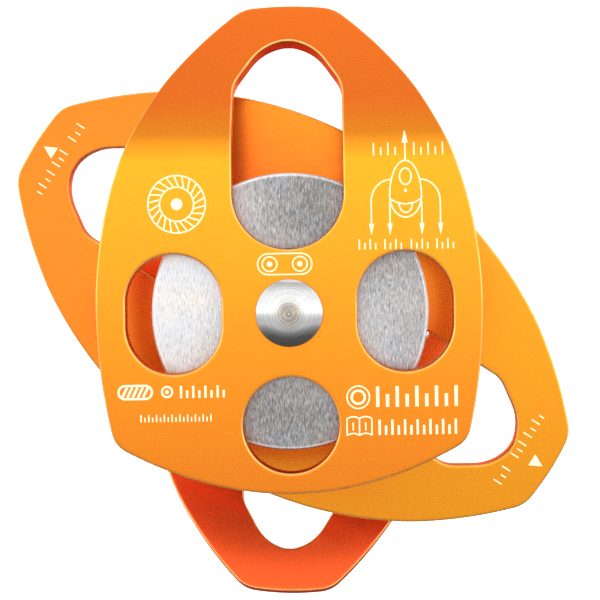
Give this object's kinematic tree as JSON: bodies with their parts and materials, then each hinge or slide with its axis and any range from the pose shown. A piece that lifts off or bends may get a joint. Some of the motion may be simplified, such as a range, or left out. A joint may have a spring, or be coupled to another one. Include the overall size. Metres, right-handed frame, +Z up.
{
  "type": "rope pulley",
  "caption": "Twin rope pulley for tree climbing and rigging: sheaves side by side on one axle, between side plates and a middle plate that swing open, with eyes for a connector.",
  "frame": {"origin": "on the axle's axis, in the mid-plane of the middle plate", "axes": "+Z up towards the front side plate's eye, -Y out of the front side plate (the face that is looked at), +Y along the axle to the rear, +X to the right as seen from the front"},
  "size_m": [0.1552, 0.0623, 0.1666],
  "materials": {
    "front_side_plate": "orange anodised, satin",
    "middle_plate": "orange anodised, satin",
    "rear_side_plate": "orange anodised, satin, in shade",
    "sheave": "plain aluminium, fine tumbled grain",
    "axle": "turned and polished stainless steel",
    "spacer": "turned stainless steel",
    "bearing_race": "ground bearing steel",
    "ball": "polished bearing steel",
    "cage": "moulded polyamide",
    "shield": "pressed sheet steel",
    "snap_ring": "phosphated spring steel"
  },
  "bodies": {
    "front_plate": {"front_side_plate": "front_side_plate"},
    "axle": {"axle_pin": "axle", "axle_screw": "axle", "spacer_front_outer": "spacer", "spacer_front_inner": "spacer", "spacer_rear_inner": "spacer", "spacer_rear_outer": "spacer", "front_inner_race": "bearing_race", "rear_inner_race": "bearing_race"},
    "middle_plate": {"middle_plate": "middle_plate"},
    "rear_plate": {"rear_side_plate": "rear_side_plate"},
    "front_sheave": {"front_sheave": "sheave", "front_outer_race": "bearing_race", "front_shield_outer": "shield", "front_shield_inner": "shield", "front_snap_ring": "snap_ring"},
    "front_ball_set": {"front_cage": "cage", "front_ball_1": "ball", "front_ball_2": "ball", "front_ball_3": "ball", "front_ball_4": "ball", "front_ball_5": "ball", "front_ball_6": "ball", "front_ball_7": "ball", "front_ball_8": "ball", "front_ball_9": "ball"},
    "rear_sheave": {"rear_sheave": "sheave", "rear_outer_race": "bearing_race", "rear_shield_outer": "shield", "rear_shield_inner": "shield", "rear_snap_ring": "snap_ring"},
    "rear_ball_set": {"rear_cage": "cage", "rear_ball_1": "ball", "rear_ball_2": "ball", "rear_ball_3": "ball", "rear_ball_4": "ball", "rear_ball_5": "ball", "rear_ball_6": "ball", "rear_ball_7": "ball", "rear_ball_8": "ball", "rear_ball_9": "ball"}
  },
  "joints": [
    {"name": "axle_turn", "type": "hinge", "parent": "front_plate", "child": "axle", "pos_m": [0, 0, 0], "axis": [0, 1, 0], "continuous": true},
    {"name": "middle_plate_swing", "type": "hinge", "parent": "front_plate", "child": "middle_plate", "pos_m": [0, 0, 0], "axis": [0, 1, 0], "continuous": true},
    {"name": "rear_plate_swing", "type": "hinge", "parent": "front_plate", "child": "rear_plate", "pos_m": [0, 0, 0], "axis": [0, 1, 0], "continuous": true},
    {"name": "front_sheave_spin", "type": "hinge", "parent": "axle", "child": "front_sheave", "pos_m": [0, 0, 0], "axis": [0, 1, 0], "continuous": true},
    {"name": "front_ball_set_spin", "type": "hinge", "parent": "axle", "child": "front_ball_set", "pos_m": [0, 0, 0], "axis": [0, 1, 0], "continuous": true},
    {"name": "rear_sheave_spin", "type": "hinge", "parent": "axle", "child": "rear_sheave", "pos_m": [0, 0, 0], "axis": [0, 1, 0], "continuous": true},
    {"name": "rear_ball_set_spin", "type": "hinge", "parent": "axle", "child": "rear_ball_set", "pos_m": [0, 0, 0], "axis": [0, 1, 0], "continuous": true}
  ],
  "couplings": [
    {"joint": "front_ball_set_spin", "follows": "front_sheave_spin", "ratio": 0.60128},
    {"joint": "rear_ball_set_spin", "follows": "rear_sheave_spin", "ratio": 0.60128}
  ]
}
